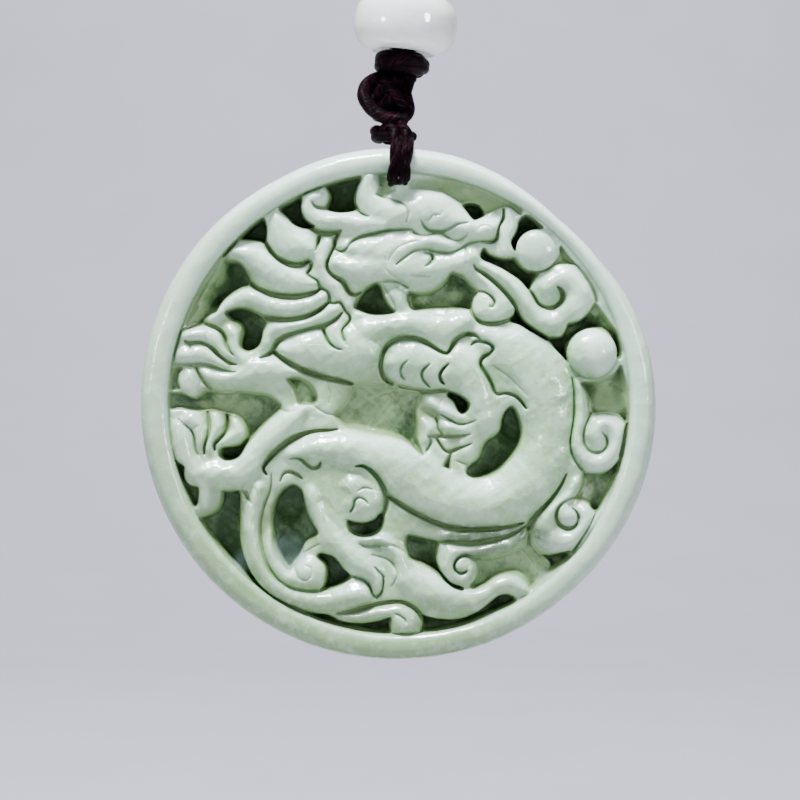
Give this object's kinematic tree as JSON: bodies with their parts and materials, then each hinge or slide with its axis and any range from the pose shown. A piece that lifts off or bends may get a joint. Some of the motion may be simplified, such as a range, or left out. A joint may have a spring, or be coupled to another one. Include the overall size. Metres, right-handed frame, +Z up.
{
  "type": "chinese jade pendant",
  "caption": "Round pale green jade pendant carved with a dragon among clouds, hung by a dark satin cord with knots and a milky stone bead.",
  "frame": {"origin": "inside top of the hanging loop, where the pendant hangs", "axes": "+Z up, +X to the right as seen from the carved face, +Y away from the carved face towards the flat back"},
  "size_m": [0.0499, 0.01, 0.099],
  "materials": {
    "jade": "polished",
    "satin_cord": "satin",
    "agate": "polished"
  },
  "bodies": {
    "cord": {"rim_strand_left": "satin_cord", "rim_strand_right": "satin_cord", "rim_knot": "satin_cord", "loop_knot": "satin_cord", "bead_knot": "satin_cord", "bead": "agate", "bead_core": "satin_cord", "top_knot": "satin_cord", "hanging_loop": "satin_cord"},
    "disc": {"carved_disc": "jade"}
  },
  "joints": [
    {"name": "disc_swing", "type": "hinge", "parent": "cord", "child": "disc", "pos_m": [-0.0001, 0, -0.05201], "axis": [0, 1, 0], "range_deg": [-8, 8]}
  ]
}
